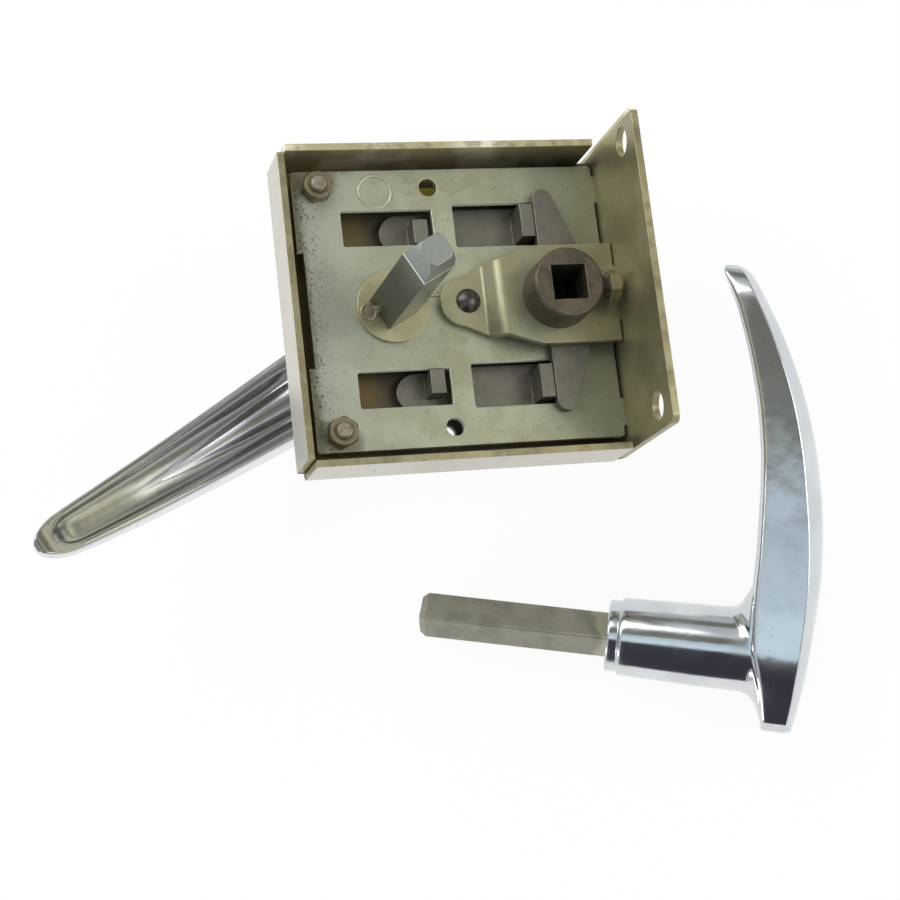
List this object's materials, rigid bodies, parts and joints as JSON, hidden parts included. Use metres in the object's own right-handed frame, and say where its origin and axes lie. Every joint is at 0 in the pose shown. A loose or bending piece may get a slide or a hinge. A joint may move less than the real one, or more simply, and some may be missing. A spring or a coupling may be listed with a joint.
{
  "type": "tractor door lock",
  "caption": "Cab door lock in a folded case with a forend, sprung latch bolt, square hub, fitted outside lever handle and loose inside lever handle.",
  "frame": {"origin": "midway between the two forend screw holes, on the forend's outer face", "axes": "+X leaves the forend, +Y runs up the forend, +Z is the plate side, towards the inside of the cab"},
  "size_m": [0.2375, 0.176, 0.1268],
  "materials": {
    "zinc_case": "yellow-green zinc passivation on folded sheet",
    "zinc_plate": "pale blue-green zinc plating",
    "zinc_yellow": "yellow zinc passivation",
    "steel": "bare steel, satin",
    "brown_steel": "brown-grey steel",
    "dark_steel": "dark steel",
    "chrome": "polished chrome on a casting"
  },
  "bodies": {
    "lock": {"lock_case": "zinc_case", "lock_plate": "zinc_plate", "plate_studs": "steel", "stud_sleeves": "steel", "plate_nuts": "steel", "hub_bridge": "zinc_yellow", "bridge_rivet": "dark_steel", "spring_posts": "steel", "bolt_spring_upper": "steel", "bolt_spring_lower": "steel"},
    "bolt": {"bolt_yoke": "steel", "latch_bolt": "steel", "bolt_rivets": "steel"},
    "outside_lever": {"outside_handle": "chrome", "outside_spindle": "steel", "outside_follower": "brown_steel", "spindle_washer": "zinc_yellow", "split_pin": "zinc_yellow"},
    "hub": {"inside_hub": "brown_steel", "hub_cam": "steel", "hub_set_screw": "steel"},
    "inside_lever": {"inside_handle": "chrome", "inside_spindle": "steel"}
  },
  "joints": [
    {"name": "outside_handle_turn", "type": "hinge", "parent": "lock", "child": "outside_lever", "pos_m": [-0.0676, 0, -0.026], "axis": [0, 0, 1], "range_deg": [0, 32]},
    {"name": "bolt_slide", "type": "slide", "parent": "lock", "child": "bolt", "axis": [-1, 0, 0], "range_m": [0, 0.012], "deforming": ["bolt_spring_upper", "bolt_spring_lower"]},
    {"name": "hub_turn", "type": "hinge", "parent": "lock", "child": "hub", "pos_m": [-0.0204, 0, -0.026], "axis": [0, 0, 1], "range_deg": [0, 23]},
    {"name": "inside_handle_lift", "type": "slide", "parent": "lock", "child": "inside_lever", "axis": [-0.3826, -0.1566, 0.9105], "range_m": [0, 0.1]}
  ],
  "couplings": [
    {"joint": "bolt_slide", "follows": "outside_handle_turn", "m_per_rad": 0.021486},
    {"joint": "hub_turn", "follows": "outside_handle_turn", "ratio": 0.71875}
  ]
}
